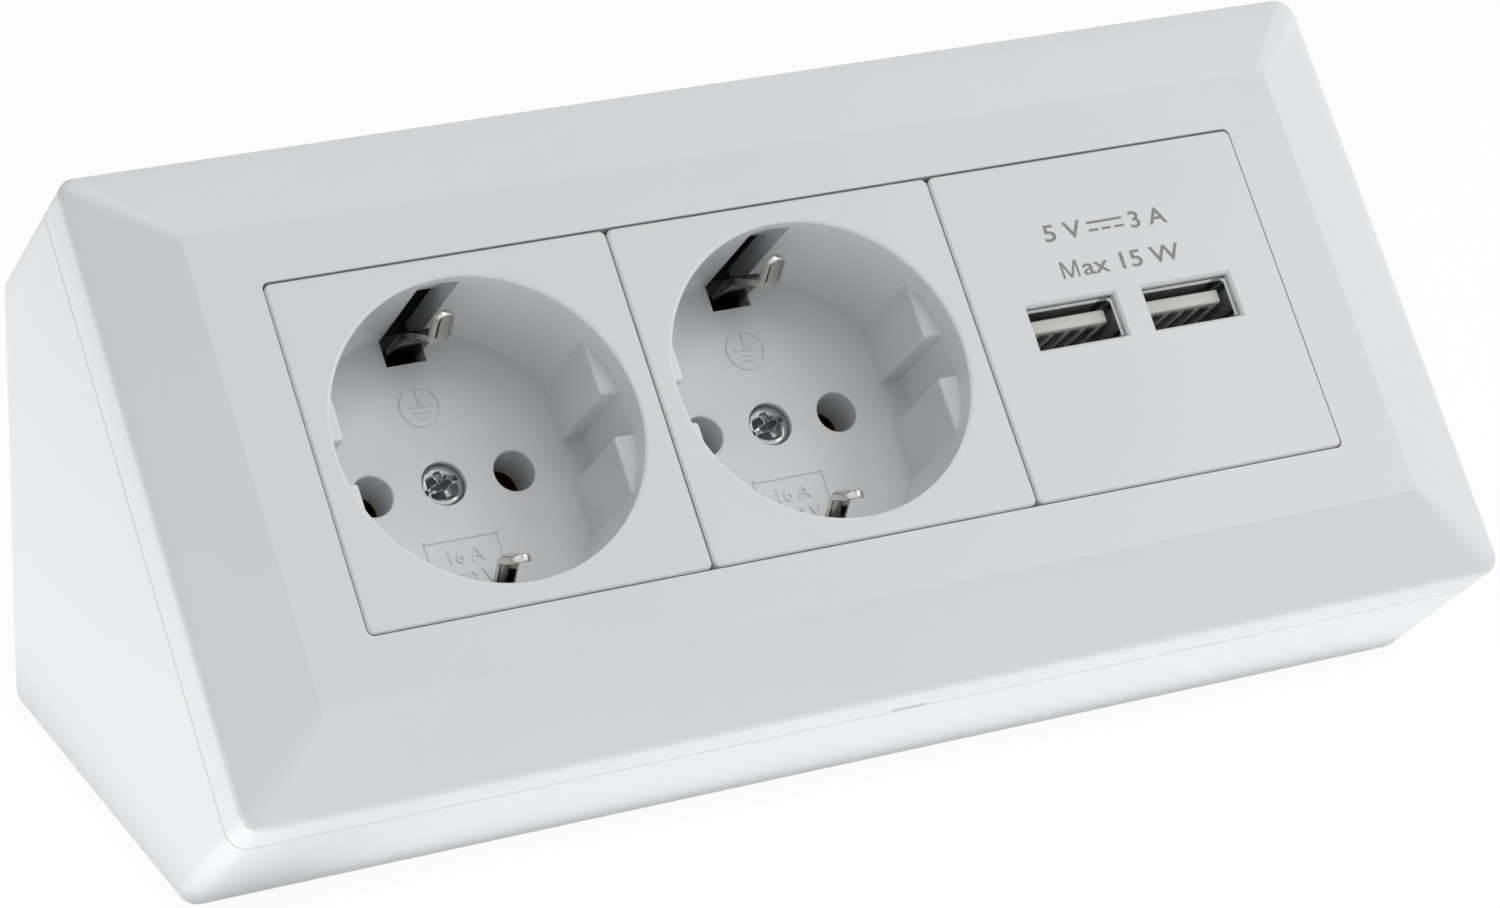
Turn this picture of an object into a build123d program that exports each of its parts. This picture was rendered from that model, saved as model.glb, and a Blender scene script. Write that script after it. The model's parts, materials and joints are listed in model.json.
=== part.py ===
from build123d import *
import os
from math import hypot, sqrt

# Corner power socket, in millimetres. Every piece is drawn in the frame of the sloping face:
# x along the row of inserts, y up the slope, z out of the face, with z = 0 on the front plane.
# At the end each piece is turned to stand on its bottom face, with the wall behind it at +Y.

# Inserts: square faces side by side, two with a round plug recess
recess_diameter = 39.3
recess_depth = 18.3
floor_thickness = 3.0
cup_wall = 1.5
cup_sides = 8              # flats round the outside of the cup and of the pin sleeves
corner_land = 1.35         # face left between the cup and the middle of each edge
insert_count = 3
insert_joint = 0.25        # open joint round each insert
insert_corner = 0.9
insert_plate = 2.2
skirt_depth = 6.0          # face to the seat on the carrier
skirt_wall = 1.6
edge_break = 0.25

# Plug interface inside the recess
pin_pitch = 19.0
pin_hole = 5.3
pin_sleeve = 4.0           # length of the sleeves round the pin holes, behind the floor
sleeve_wall = 0.9
rib_height = 2.9           # guide ribs stand in from the recess wall
rib_gap = 5.5              # groove between the two ribs of a side
rib_top = 3.5              # face to the tops of the ribs
pocket_width = 5.4         # earth pockets in the cup's wall
pocket_depth = 2.05
pocket_top = 1.8           # face to the pockets' upper ends
pocket_wall = 1.5
slot_reach = 3.65          # how far the floor slots come in from the cup's wall

# Earth strap: reaches are measured inwards from the cup's wall
strap_width = 5.0
strap_thickness = 1.0
strap_drop = 3.0           # recess floor's back to the strap
strap_bend = 1.0
arm_width = 2.8
arm_foot = 1.65
arm_shoulder = 2.2
arm_nose = 5.4
arm_tip = 3.6
arm_shoulder_depth = 12.0
arm_nose_depth = 6.5
arm_tip_depth = 2.2

# Centre screw of a socket
cover_screw_head = 5.4
cover_screw_head_height = 1.5
cover_screw_shank = 2.9
cover_screw_length = 9.0
counterbore_depth = 1.8
head_clearance = 0.2
hole_clearance = 0.1       # round a screw that passes through
thread_clearance = 0.05    # round a screw that bites
cross_width = 0.8          # drive recess in the screw heads
cross_length = 3.6
cross_depth = 0.9
bar_sides = 12             # flats round hidden bars and their holes

# Contact block behind the recess floor, with sprung pin contacts and push-in terminals
block_wall = 2.4
block_floor = 2.5
chamber_depth = 16.2      # takes the plug's pins over their full length
chamber_clearance = 0.2
contact_sheet = 0.8
jaw_gap = 4.4
jaw_width = 7.0
jaw_flare = 0.9
jaw_lip = 2.5
jaw_setback = 0.5          # sleeves to the jaws
tail_width = 5.0
cage_width = 9.0
cage_height = 6.0
cage_sheet = 0.8
spring_room = 1.6
spring_sheet = 0.3
spring_fold = 0.6
spring_margin = 0.9        # cage's mouth to the spring's folds
spring_gap = 0.8           # middle of the cage to the spring's tips
lane_gap = 1.0             # jaws to the first row of terminals
lane_clearance = 0.6       # wires to the terminals that they pass

# Wires between the inserts
wire_diameter = 2.8
wire_clearance = 0.15
wire_grip = 3.5            # length of wire inside a terminal

# Carrier: ladder frame that the inserts snap into
carrier_thickness = 2.5
carrier_bar = 6.5
carrier_end = 10.0
lug_reach = 5.0            # corner seats under the inserts' skirts
hook_width = 4.0
hook_offset = 13.0
hook_wall = 1.4
hook_catch = 0.9
hook_lead = 2.2
snap_clearance = 0.15

# Carrier screws and the brackets in the housing's ends that take them
carrier_screw_shank = 2.9
carrier_screw_head = 5.6
carrier_screw_head_height = 1.9
carrier_screw_bite = 9.0
bracket_width = 12.0
bracket_gap = 0.8
bracket_floor = 3.0
bracket_slope = 0.9

# Front frame
border_ends = 8.0
border_sides = 7.4
bevel_run = 11.4
bevel_drop = 4.8
rim_depth = 11.4           # front plane to the parting line
shell_wall = 2.4
plan_corner = 2.5
crest_corner = 0.8
crest_radius = 0.6
rim_break = 0.5            # edge between the bevels and the rim
collar_wall = 1.4
lip_wall = 1.4
lip_depth = 4.0
lip_root = 2.0
lip_clearance = 0.2
clip_width = 8.0
clip_height = 2.0
clip_catch = 0.5
clip_drop = 1.2            # parting line to the clips
clip_clearance = 0.25
clip_pitch = 70.0
slit_width = 4.8
slit_height = 0.9
slit_depth = 1.5
slit_offset = 2.0

# Base housing: walls square to the face, then two faces at right angles for worktop and wall
side_depth = 22.6          # parting line to the rear edges
rear_radius = 3.0
parting_groove = 0.3
fixing_hole = 4.5
fixing_spacing = 124.0
inlet_diameter = 10.0
inlet_offset = 46.0

# USB charger insert
port_pitch = 17.0
port_rise = 0.2
port_window_width = 12.8
port_window_height = 5.9
port_lip = 1.2             # plate left in front of the shells
port_clearance = 0.25
port_chamfer = 0.35
shell_width = 13.1
shell_height = 5.7
shell_length = 14.0
shell_sheet = 0.3
shell_corner = 0.4
tongue_width = 11.1
tongue_thickness = 1.8
tongue_rise = 0.9          # shell's axis to the tongue's middle
tongue_setback = 1.2
tongue_chamfer = 0.3
tongue_clearance = 0.15
tongue_root = 5.0
port_contact_count = 4
port_contact_pitch = 2.3
port_contact_width = 1.0
port_contact_sheet = 0.25
port_contact_setback = 0.8
case_wall = 1.5
case_clearance = 0.3
case_depth = 32.0
board_thickness = 1.6
board_clearance = 0.2
board_ledge = 1.2          # ribs on the case's side walls that carry the board
part_margin = 0.4          # ledges to the parts on the board
part_gap = 1.0
transformer_length = 14.0
transformer_height = 12.0
transformer_depth = 11.0
winding_inset = 2.0
winding_swell = 1.2
input_capacitor = 10.0
input_capacitor_depth = 12.0
output_capacitor = 6.3
output_capacitor_depth = 9.0
supply_width = 9.0
supply_wall = 3.0
supply_gap = 7.4           # gap between its two inlets

# Worked-out sizes
recess_radius = recess_diameter / 2
cup_radius = recess_radius + cup_wall
module = 2 * (cup_radius + corner_land)
insert = module - insert_joint
window_length = insert_count * module + insert_joint
window_height = module + insert_joint
plateau_length = window_length + 2 * border_ends
plateau_height = window_height + 2 * border_sides
front_length = plateau_length + 2 * bevel_run
front_height = plateau_height + 2 * bevel_run
inner_length = front_length - 2 * shell_wall
inner_height = front_height - 2 * shell_wall
plate_rise = shell_wall * hypot(bevel_run, bevel_drop) / bevel_run
parting = -rim_depth
rear_edge = parting - side_depth
apex = rear_edge - front_height / 2
recess_floor = -recess_depth
floor_back = recess_floor - floor_thickness
sleeve_end = floor_back - pin_sleeve
strap_back = floor_back - strap_drop - strap_thickness
strap_end = recess_radius - arm_foot + strap_thickness / 2 + chamber_clearance
chamber_bottom = floor_back - chamber_depth
block_back = chamber_bottom - block_floor
block_width = pin_pitch + cage_width + 2 * chamber_clearance + 2 * block_wall
block_height = 2 * (strap_end + block_wall)
cage_window = wire_diameter + 2 * wire_clearance + spring_room
cage_floor = block_back - cage_window
cage_bottom = cage_floor - cage_sheet
wire_z = cage_floor + wire_clearance + wire_diameter / 2
neutral_lane = jaw_width / 2 + lane_gap + cage_height / 2
line_lane = -neutral_lane
earth_lane = neutral_lane + (cage_height + wire_diameter) / 2 + lane_clearance
carrier_seat = -skirt_depth
carrier_back = carrier_seat - carrier_thickness
screw_x = window_length / 2 + carrier_end / 2
insert_places = [module * (index - (insert_count - 1) / 2) for index in range(insert_count)]
socket_places = {"left": insert_places[0], "middle": insert_places[1]}
charger_place = insert_places[2]
shell_mouth = -port_lip
board_front = shell_mouth - shell_length
board_back = board_front - board_thickness
case_width = insert - 2 * skirt_wall - 2 * case_clearance
case_height = window_height - 2 * lug_reach - 2 * case_clearance
case_back = -insert_plate - case_depth
bay_width = case_width / 2 - case_wall - board_ledge - part_margin
bay_height = case_height / 2 - case_wall - board_ledge - part_margin
supply_place = supply_width / 2 - bay_width
input_place = supply_place + supply_width / 2 + part_gap + input_capacitor / 2
output_place = bay_width - output_capacitor / 2
port_places = {"left": -port_pitch / 2, "right": port_pitch / 2}
# Place of each terminal on its contact block
terminals = {
    "line": (pin_pitch / 2, line_lane),
    "neutral": (-pin_pitch / 2, neutral_lane),
    "earth": (0, earth_lane),
}


def about(centre, size):
    return centre - size / 2, centre + size / 2


def block(x, y, z):
    # Box between a pair of limits on each axis.
    limits = [sorted(pair) for pair in (x, y, z)]
    centre = [(low + high) / 2 for low, high in limits]
    return Pos(*centre) * Box(*[high - low for low, high in limits])


def post(x, y, z, diameter):
    return Pos(x, y, (z[0] + z[1]) / 2) * Cylinder(diameter / 2, abs(z[1] - z[0]))


def bar(x, y, z, diameter, hole=False):
    # Many-sided bar inside a circle, or the hole round that circle.
    section = RegularPolygon(diameter / 2, bar_sides, major_radius=not hole)
    return extrude(Pos(x, y, min(z)) * section, abs(z[1] - z[0]))


def slab(length, height, corner, z):
    return extrude(Pos(0, 0, z[0]) * RectangleRounded(length, height, corner), z[1] - z[0])


def ring(length, height, wall, z):
    outer = block(about(0, length), about(0, height), z)
    return outer - block(about(0, length - 2 * wall), about(0, height - 2 * wall), z)


def profile(plane, points, width):
    # A section drawn in a plane and thickened to both sides of it.
    return plane * extrude(Polygon(*points, align=None), width / 2, both=True)


def strip(plane, points, sheet, width, bend=0):
    # Bent sheet: the middle line of its section with sharp or round bends, then its thickness and width.
    path = FilletPolyline(*points, radius=bend) if bend else Polyline(*points)
    return plane * extrude(trace(path, sheet), width / 2, both=True)


def top_edges(piece):
    return piece.faces().sort_by(Axis.Z)[-1].edges()


def screw(head, head_height, shank, length):
    # Screw with its head seated on z = 0 and a cross recess in the head.
    body = post(0, 0, (0, head_height), head) + bar(0, 0, (-length, 0), shank)
    recess = (head_height - cross_depth, head_height)
    body -= block(about(0, cross_length), about(0, cross_width), recess)
    body -= block(about(0, cross_width), about(0, cross_length), recess)
    return body


def wedge_section(half_height, rear):
    # Section of the housing: square walls, then the two faces that meet at the apex.
    return Polygon(
        (half_height, parting),
        (half_height, rear),
        (0, rear - half_height),
        (-half_height, rear),
        (-half_height, parting),
        align=None,
    )


def rear_plane(x, side):
    # Plane on the middle of the bottom face (side -1) or the wall face (side +1), facing out.
    return Plane(
        origin=(x, side * front_height / 4, rear_edge - front_height / 4),
        x_dir=(1, 0, 0),
        z_dir=(0, side, -1),
    )


def end_bracket():
    # Bracket on the housing's right end: a pad for the carrier's end and an arm under the frame's lip.
    inner_x = window_length / 2 + bracket_gap
    outer_x = window_length / 2 + carrier_end
    wall_x = (front_length - shell_wall) / 2
    arm_top = parting - lip_depth - lip_clearance
    pad_foot = carrier_back - carrier_screw_bite - bracket_floor
    wall_foot = pad_foot - bracket_slope * (wall_x - inner_x)
    points = [
        (inner_x, carrier_back),
        (outer_x, carrier_back),
        (outer_x, arm_top),
        (wall_x, arm_top),
        (wall_x, wall_foot),
        (inner_x, pad_foot),
    ]
    pilot = carrier_screw_shank + 2 * thread_clearance
    bracket = profile(Plane.XZ, points, bracket_width)
    return bracket - post(screw_x, 0, (carrier_back - carrier_screw_bite, carrier_back), pilot)


def clip(clearance):
    # Catch on the front frame's lip, pointing along +y, or with clearance the pocket that it snaps into.
    top = parting - clip_drop + clearance
    bottom = parting - clip_drop - clip_height - clearance
    root = -lip_clearance - lip_wall / 2
    nose = clip_catch - lip_clearance + clearance
    catch = [(nose, top), (nose, top - clip_height / 2), (-lip_clearance, bottom)]
    points = [(root, top), *catch, (root, bottom)]
    return profile(Plane.YZ, points, clip_width + 2 * clearance)


def clip_places():
    places = [Pos(inner_length / 2, 0, 0) * Rot(0, 0, -90), Pos(-inner_length / 2, 0, 0) * Rot(0, 0, 90)]
    for x in about(0, clip_pitch):
        places.append(Pos(x, inner_height / 2, 0))
        places.append(Pos(x, -inner_height / 2, 0) * Rot(0, 0, 180))
    return places


def base_housing():
    section = wedge_section(front_height / 2, rear_edge)
    rear_corners = section.vertices().filter_by(lambda v: v.Y < (parting + rear_edge) / 2)
    body = Plane.YZ * extrude(fillet(rear_corners, rear_radius), front_length / 2, both=True)
    end_edges = body.faces().filter_by(Axis.X).edges()
    body = fillet(end_edges.filter_by(lambda e: e.center().Z < parting - edge_break), plan_corner)
    body = chamfer(top_edges(body), parting_groove)
    inner_rear = apex + shell_wall * sqrt(2) + inner_height / 2
    body -= Plane.YZ * extrude(wedge_section(inner_height / 2, inner_rear), inner_length / 2, both=True)
    body += end_bracket()
    body += mirror(end_bracket(), about=Plane.YZ)
    for place in clip_places():
        body -= place * clip(clip_clearance)
    for side in (-1, 1):
        for x in about(0, fixing_spacing):
            body -= rear_plane(x, side) * Cylinder(fixing_hole / 2, 4 * shell_wall)
    body -= rear_plane(inlet_offset, 1) * Cylinder(inlet_diameter / 2, 4 * shell_wall)
    return body


def front_frame():
    outer = RectangleRounded(front_length, front_height, plan_corner)
    brow_inset = rim_break * bevel_run / hypot(bevel_run, bevel_drop)
    brow_rise = rim_break * bevel_drop / hypot(bevel_run, bevel_drop)
    brow_corner = plan_corner - (plan_corner - crest_corner) * brow_inset / bevel_run
    brow = RectangleRounded(front_length - 2 * brow_inset, front_height - 2 * brow_inset, brow_corner)
    crest = RectangleRounded(plateau_length, plateau_height, crest_corner)
    rim_top = -bevel_drop - rim_break
    body = extrude(Pos(0, 0, parting) * outer, rim_top - parting)
    body += loft([Pos(0, 0, rim_top) * outer, Pos(0, 0, brow_rise - bevel_drop) * brow, crest], ruled=True)
    body = fillet(top_edges(body), crest_radius)
    shoulder = -bevel_drop * (1 - shell_wall / bevel_run) - plate_rise
    inner = Rectangle(inner_length, inner_height)
    body -= extrude(Pos(0, 0, parting) * inner, shoulder - parting)
    inner_crest = Pos(0, 0, -plate_rise) * Rectangle(plateau_length, plateau_height)
    body -= loft([Pos(0, 0, shoulder) * inner, inner_crest], ruled=True)
    collar = (window_length + 2 * collar_wall, window_height + 2 * collar_wall)
    body += block(about(0, collar[0]), about(0, collar[1]), (carrier_seat, -plate_rise / 2))
    body -= slab(window_length, window_height, insert_corner, (carrier_seat, 0))
    lip_length = inner_length - 2 * lip_clearance
    lip_height = inner_height - 2 * lip_clearance
    root_wall = lip_clearance + lip_wall
    body += ring(inner_length, inner_height, root_wall, (parting, parting + lip_root))
    body += ring(lip_length, lip_height, lip_wall, (parting - lip_depth, parting))
    for place in clip_places():
        body += place * clip(0)
    slit_face = -front_height / 2
    slit_y = (slit_face - edge_break, slit_face + slit_depth)
    body -= block(about(slit_offset, slit_width), slit_y, (parting, parting + slit_height))
    return body


def carrier_frame():
    z = (carrier_back, carrier_seat)
    body = ring(window_length + 2 * carrier_end, window_height + 2 * carrier_bar, carrier_bar, z)
    for side in (-1, 1):
        x = (side * window_length / 2, side * (window_length / 2 + carrier_end))
        body += block(x, about(0, window_height), z)
        edge = side * window_height / 2
        for index in range(insert_count + 1):
            centre = module * (index - insert_count / 2)
            body += block(about(centre, 2 * lug_reach), (edge, edge - side * lug_reach), z)
        hole = carrier_screw_shank + 2 * hole_clearance
        body -= block(about(side * screw_x, hole), about(0, hole), z)
    return body


def carrier_screws():
    length = carrier_thickness + carrier_screw_bite - thread_clearance
    one = screw(carrier_screw_head, carrier_screw_head_height, carrier_screw_shank, length)
    return [Pos(x, 0, carrier_seat) * one for x in (-screw_x, screw_x)]


def insert_shell():
    # Square insert face with its skirt and the four hooks that snap under the carrier's bars.
    body = slab(insert, insert, insert_corner, (-skirt_depth, 0))
    body = chamfer(top_edges(body), edge_break)
    inside = insert - 2 * skirt_wall
    body -= block(about(0, inside), about(0, inside), (-skirt_depth, -insert_plate))
    edge = insert / 2
    under = carrier_back - snap_clearance
    points = [
        (edge - hook_wall, -insert_plate),
        (edge, -insert_plate),
        (edge, under),
        (edge + hook_catch, under),
        (edge, under - hook_lead),
        (edge - hook_wall, under - hook_lead),
    ]
    hook = profile(Plane.YZ, points, hook_width)
    for x in (-hook_offset, hook_offset):
        body += Pos(x, 0, 0) * hook
        body += Pos(x, 0, 0) * mirror(hook, about=Plane.XZ)
    return body


def flats(x, z, radius):
    # Outside of a cup or sleeve, with flats round it.
    section = RegularPolygon(radius, cup_sides, major_radius=False, rotation=180 / cup_sides)
    return extrude(Pos(x, 0, z[0]) * section, z[1] - z[0])


def plug_recess():
    # Round recess with two guide ribs left standing on each side.
    recess = post(0, 0, (recess_floor, 0), recess_diameter)
    chord = recess_radius - rib_height
    for side_x in (-1, 1):
        for side_y in (-1, 1):
            rib_x = (side_x * chord, side_x * cup_radius)
            rib_y = (side_y * rib_gap / 2, side_y * cup_radius)
            recess -= block(rib_x, rib_y, (recess_floor, -rib_top))
    return recess


def socket_cover():
    body = insert_shell()
    body += flats(0, (floor_back, -insert_plate / 2), cup_radius)
    pocket_x = about(0, pocket_width)
    housing_x = about(0, pocket_width + 2 * pocket_wall)
    body += block(housing_x, about(0, insert), (floor_back, -skirt_depth + edge_break))
    body -= plug_recess()
    circles = body.edges().filter_by(GeomType.CIRCLE)
    rims = circles.filter_by(lambda e: abs(e.radius - recess_radius) < edge_break)
    body = chamfer(rims.group_by(Axis.Z)[-1], edge_break)
    for side in (-1, 1):
        pocket_y = (side * (recess_radius - slot_reach), side * (recess_radius + pocket_depth))
        body -= block(pocket_x, pocket_y, (floor_back, -pocket_top))
        body -= block(pocket_x, (pocket_y[1], side * insert), (floor_back, carrier_back))
        pin_x = side * pin_pitch / 2
        body += flats(pin_x, (sleeve_end, floor_back), pin_hole / 2 + sleeve_wall)
        body -= post(pin_x, 0, (sleeve_end, recess_floor), pin_hole)
    seat = recess_floor - counterbore_depth
    body -= post(0, 0, (seat, recess_floor), cover_screw_head + 2 * head_clearance)
    body -= bar(0, 0, (floor_back, seat), cover_screw_shank + 2 * hole_clearance, hole=True)
    return body


def cover_screw():
    one = screw(cover_screw_head, cover_screw_head_height, cover_screw_shank, cover_screw_length)
    return Pos(0, 0, recess_floor - counterbore_depth) * one


def earth_strap():
    # One strip from arm to arm, flat on the contact block, narrowed above the arms' shoulders.
    arm = [
        (recess_radius - arm_foot, strap_back + strap_thickness / 2),
        (recess_radius - arm_shoulder, -arm_shoulder_depth),
        (recess_radius - arm_nose, -arm_nose_depth),
        (recess_radius - arm_tip, -arm_tip_depth),
    ]
    points = [(-y, z) for y, z in reversed(arm)] + arm
    body = strip(Plane.YZ, points, strap_thickness, strap_width, strap_bend)
    for side in (-1, 1):
        trim = (side * arm_width / 2, side * strap_width)
        body -= block(trim, about(0, recess_diameter), (-arm_shoulder_depth, 0))
    hole = about(0, cover_screw_shank + 4 * hole_clearance)
    body -= block(hole, hole, (strap_back, strap_back + strap_thickness))
    return body


def wire_cage(x, y):
    # Push-in terminal: a box open at both ends for a wire from either side.
    body = block(about(x, cage_width), about(y, cage_height), (cage_bottom, chamber_bottom))
    window = about(y, cage_height - 2 * cage_sheet)
    return body - block(about(x, cage_width), window, (cage_floor, block_back))


def earth_terminal():
    x, y = terminals["earth"]
    leg = block(about(x, tail_width), about(y, contact_sheet), (chamber_bottom, strap_back))
    return leg + wire_cage(x, y)


def pin_contact(x, lane):
    # Sprung jaws round the pin, a tail along the chamber's floor and the terminal under its end.
    grip = (jaw_gap + contact_sheet) / 2
    top = sleeve_end - jaw_setback
    foot = chamber_bottom + contact_sheet / 2
    leaf = [(grip + jaw_flare, top), (grip, top - jaw_lip), (grip + contact_sheet / 2, foot)]
    points = [(-across, height) for across, height in leaf] + leaf[::-1]
    jaws = strip(Plane.XZ, points, contact_sheet, jaw_width)
    tail = block(about(x, tail_width), (lane, 0), (chamber_bottom, chamber_bottom + contact_sheet))
    return Pos(x, 0, 0) * jaws + tail + wire_cage(x, lane)


def cage_spring(x, y):
    # Leaf folded back from the cage's roof, with a tip on each side for the wires.
    roof = block_back - spring_sheet / 2
    tip = wire_z + (wire_diameter + spring_sheet) / 2 + wire_clearance
    fold = cage_width / 2 - spring_margin
    half = [(fold, roof), (fold, roof - spring_fold), (spring_gap, tip)]
    points = [(-across, height) for across, height in reversed(half)] + half
    width = cage_height - 2 * cage_sheet - 2 * wire_clearance
    return Pos(x, y, 0) * strip(Plane.XZ, points, spring_sheet, width)


def chamber(x, y, z):
    grow = chamber_clearance
    return block((x[0] - grow, x[1] + grow), (y[0] - grow, y[1] + grow), z)


def contact_block():
    body = block(about(0, block_width), about(0, block_height), (block_back, floor_back))
    channel = strap_width + 2 * chamber_clearance
    body -= block(about(0, channel), (-strap_end, strap_end), (strap_back, floor_back))
    for name in ("line", "neutral"):
        x, lane = terminals[name]
        reach = (min(lane - cage_height / 2, -jaw_width / 2), max(lane + cage_height / 2, jaw_width / 2))
        body -= chamber(about(x, cage_width), reach, (chamber_bottom, floor_back))
    for x, lane in terminals.values():
        body -= chamber(about(x, cage_width), about(lane, cage_height), (block_back, chamber_bottom))
    body -= chamber(about(0, tail_width), about(earth_lane, contact_sheet), (chamber_bottom, floor_back))
    pilot = cover_screw_shank + 2 * thread_clearance
    pilot_end = recess_floor - counterbore_depth - cover_screw_length
    body -= bar(0, 0, (pilot_end, floor_back), pilot, hole=True)
    return body


def usb_cover():
    body = insert_shell()
    for x in port_places.values():
        window = Pos(x, port_rise, 0) * Rectangle(port_window_width, port_window_height)
        mouth = (port_window_width + 2 * port_chamfer, port_window_height + 2 * port_chamfer)
        body -= extrude(window, -insert_plate)
        rim = Pos(x, port_rise, 0) * Rectangle(*mouth)
        body -= loft([rim, Pos(0, 0, -port_chamfer) * window], ruled=True)
        seat_x = about(x, shell_width + 2 * port_clearance)
        seat_y = about(port_rise, shell_height + 2 * port_clearance)
        body -= block(seat_x, seat_y, (-insert_plate, shell_mouth))
    return body


def port_shell(x):
    z = (board_front, shell_mouth)
    tube = block(about(0, shell_width), about(0, shell_height), z)
    bore = (shell_width - 2 * shell_sheet, shell_height - 2 * shell_sheet)
    tube -= slab(*bore, shell_corner, (board_front + shell_sheet, shell_mouth))
    return Pos(x, port_rise, 0) * tube


def port_tongue(x):
    gap = 2 * (shell_sheet + tongue_clearance)
    foot = board_front + shell_sheet
    tip = shell_mouth - tongue_setback
    blade = block(about(0, tongue_width), about(tongue_rise, tongue_thickness), (foot, tip))
    body = chamfer(top_edges(blade), tongue_chamfer)
    body += block(about(0, shell_width - gap), about(0, shell_height - gap), (foot, foot + tongue_root))
    return Pos(x, port_rise, 0) * body


def port_contacts(x):
    under = port_rise + tongue_rise - tongue_thickness / 2
    z = (board_front + shell_sheet + tongue_root, shell_mouth - tongue_setback - port_contact_setback)
    first = x - port_contact_pitch * (port_contact_count - 1) / 2
    places = [first + port_contact_pitch * index for index in range(port_contact_count)]
    sheet = (under - port_contact_sheet, under)
    return [block(about(place, port_contact_width), sheet, z) for place in places]


def supply_span():
    return about(supply_place, supply_width), (line_lane - supply_wall, neutral_lane + supply_wall)


def usb_case():
    body = block(about(0, case_width), about(0, case_height), (case_back, -insert_plate))
    inner_x = case_width - 2 * case_wall
    inner_y = case_height - 2 * case_wall
    body -= block(about(0, inner_x), about(0, inner_y), (case_back + case_wall, -insert_plate))
    for x in about(0, inner_x - board_ledge):
        body += block(about(x, board_ledge), about(0, inner_y), (case_back, board_back))
    body -= chamber(*supply_span(), (case_back, case_back + case_wall))
    return body


def circuit_board():
    width = case_width - 2 * case_wall - 2 * board_clearance
    height = case_height - 2 * case_wall - 2 * board_clearance
    return block(about(0, width), about(0, height), (board_back, board_front))


def transformer():
    # Core with its winding, in the upper right corner of the board.
    bottom = board_back - transformer_depth
    core = block(about(0, transformer_length), about(0, transformer_height), (bottom, board_back))
    winding_size = (transformer_length - 2 * winding_inset, transformer_height + 2 * winding_swell)
    winding = slab(*winding_size, winding_inset, (bottom + winding_inset, board_back - winding_inset))
    x = bay_width - transformer_length / 2
    y = bay_height - winding_size[1] / 2
    return Pos(x, y, 0) * (core + winding)


def capacitor(diameter, depth, x):
    # Can standing on the board's lower edge.
    return bar(x, diameter / 2 - bay_height, (board_back - depth, board_back), diameter)


def supply_terminal():
    supply_x, supply_y = supply_span()
    body = block(supply_x, supply_y, (cage_bottom, board_back))
    body -= block(supply_x, about(0, supply_gap), (cage_bottom, block_back))
    for lane in (line_lane, neutral_lane):
        window_x = (supply_x[0], supply_x[0] + wire_grip + spring_margin)
        body -= block(window_x, about(lane, wire_diameter + 2 * wire_clearance), (cage_floor, block_back))
    return body


def supply_springs():
    roof = block_back - spring_sheet / 2
    tip = wire_z + (wire_diameter + spring_sheet) / 2 + wire_clearance
    mouth = supply_span()[0][0]
    fold = mouth + spring_margin
    points = [(mouth + wire_grip, roof), (fold, roof), (fold, roof - spring_fold), (mouth + wire_grip, tip)]
    leaf = strip(Plane.XZ, points, spring_sheet, wire_diameter)
    return [Pos(0, lane, 0) * leaf for lane in (line_lane, neutral_lane)]


def wire(start, end, lane):
    return Pos(start, lane, wire_z) * Rot(0, 90, 0) * bar(0, 0, (0, end - start), wire_diameter)


def link(name):
    # Wire from the left socket's terminal to the middle socket's.
    x, lane = terminals[name]
    inside = cage_width / 2 - wire_grip
    return wire(socket_places["left"] + x + inside, socket_places["middle"] + x - inside, lane)


def lead(name):
    # Wire from the middle socket's terminal to the charger.
    x, lane = terminals[name]
    inside = cage_width / 2 - wire_grip
    return wire(socket_places["middle"] + x + inside, charger_place + supply_span()[0][0] + wire_grip, lane)


# The face's frame in the standing part: bottom face on Z = 0, middle of the depth on Y = 0
slant = 1 / sqrt(2)
face = Plane(
    origin=(0, slant * (apex + front_height / 2 - bevel_drop) / 2, -slant * apex),
    x_dir=(1, 0, 0),
    z_dir=(0, -1, 1),
)

socket = {
    "socket_cover": [socket_cover()],
    "cover_screw": [cover_screw()],
    "earth_strap": [earth_strap()],
    "earth_terminal": [earth_terminal()],
    "contact_block": [contact_block()],
    "line_contact": [pin_contact(*terminals["line"])],
    "neutral_contact": [pin_contact(*terminals["neutral"])],
    "terminal_springs": [cage_spring(*place) for place in terminals.values()],
}
charger = {
    "usb_cover": [usb_cover()],
    "usb_case": [usb_case()],
    "circuit_board": [circuit_board()],
    "transformer": [transformer()],
    "input_capacitor": [capacitor(input_capacitor, input_capacitor_depth, input_place)],
    "output_capacitor": [capacitor(output_capacitor, output_capacitor_depth, output_place)],
    "supply_terminal": [supply_terminal()],
    "supply_springs": supply_springs(),
}
for side, x in port_places.items():
    charger[f"usb_shell_{side}"] = [port_shell(x)]
    charger[f"usb_tongue_{side}"] = [port_tongue(x)]
    charger[f"usb_contacts_{side}"] = port_contacts(x)

pieces = {
    "base_housing": [base_housing()],
    "front_frame": [front_frame()],
    "carrier_frame": [carrier_frame()],
    "carrier_screws": carrier_screws(),
    "line_link": [link("line")],
    "neutral_link": [link("neutral")],
    "earth_link": [link("earth")],
    "usb_line_lead": [lead("line")],
    "usb_neutral_lead": [lead("neutral")],
}
for name, x in socket_places.items():
    for piece, solids in socket.items():
        pieces[f"{piece}_{name}"] = [Pos(x, 0, 0) * solid for solid in solids]
for piece, solids in charger.items():
    pieces[piece] = [Pos(charger_place, 0, 0) * solid for solid in solids]

os.makedirs("parts", exist_ok=True)
for name, solids in pieces.items():
    placed = [face * solid for solid in solids]
    export_step(placed[0] if len(placed) == 1 else Compound(children=placed), f"parts/{name}.step")
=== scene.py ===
import bmesh
import bpy
import json
import math
from mathutils import Matrix, Quaternion, Vector


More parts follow.
